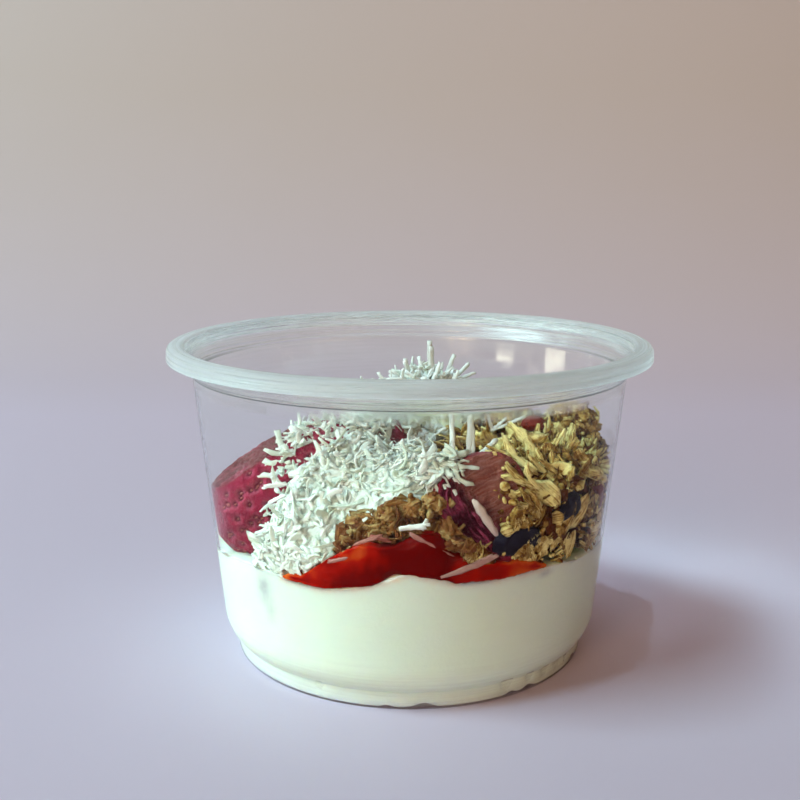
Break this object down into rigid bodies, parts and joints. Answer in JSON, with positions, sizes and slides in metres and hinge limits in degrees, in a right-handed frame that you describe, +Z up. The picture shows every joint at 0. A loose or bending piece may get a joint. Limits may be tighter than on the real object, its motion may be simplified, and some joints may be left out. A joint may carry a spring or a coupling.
{
  "type": "yogurt bowl",
  "caption": "Clear round tub with a rolled rim, part filled with yogurt and heaped with strawberries, fruit compote, granola, berries, a banana slice and shredded coconut.",
  "frame": {"origin": "centre of the tub's foot, on the surface that the tub stands on", "axes": "+Z up along the tub's axis of turning; -Y faces the front, where the compote shows; +X to the right, where the granola is"},
  "size_m": [0.117, 0.117, 0.0762],
  "materials": {
    "clear_plastic": "clear polypropylene with a faint haze, glossy",
    "yogurt": "smooth, moist, thick yogurt",
    "compote": "glossy wet fruit jelly",
    "strawberry_skin": "moist berry skin with sunken seeds",
    "strawberry_flesh": "moist cut flesh with pale fibres",
    "banana": "soft, moist cut fruit",
    "blueberry_skin": "waxy dark berry skin",
    "dried_berry": "wrinkled, sticky dried fruit",
    "granola": "toasted oat flakes and clusters, dry",
    "coconut": "dry white shreds, faintly waxy"
  },
  "bodies": {
    "root": {"cup": "clear_plastic", "yogurt": "yogurt", "compote": "compote", "strawberry_left": "strawberry_skin", "strawberry_middle": "strawberry_skin", "strawberry_front": "strawberry_flesh", "banana_slice": "banana", "blueberry_right": "blueberry_skin", "blueberry_front": "blueberry_skin", "dried_berry_right": "dried_berry", "dried_berry_top": "dried_berry", "granola": "granola", "coconut": "coconut"}
  },
  "joints": []
}
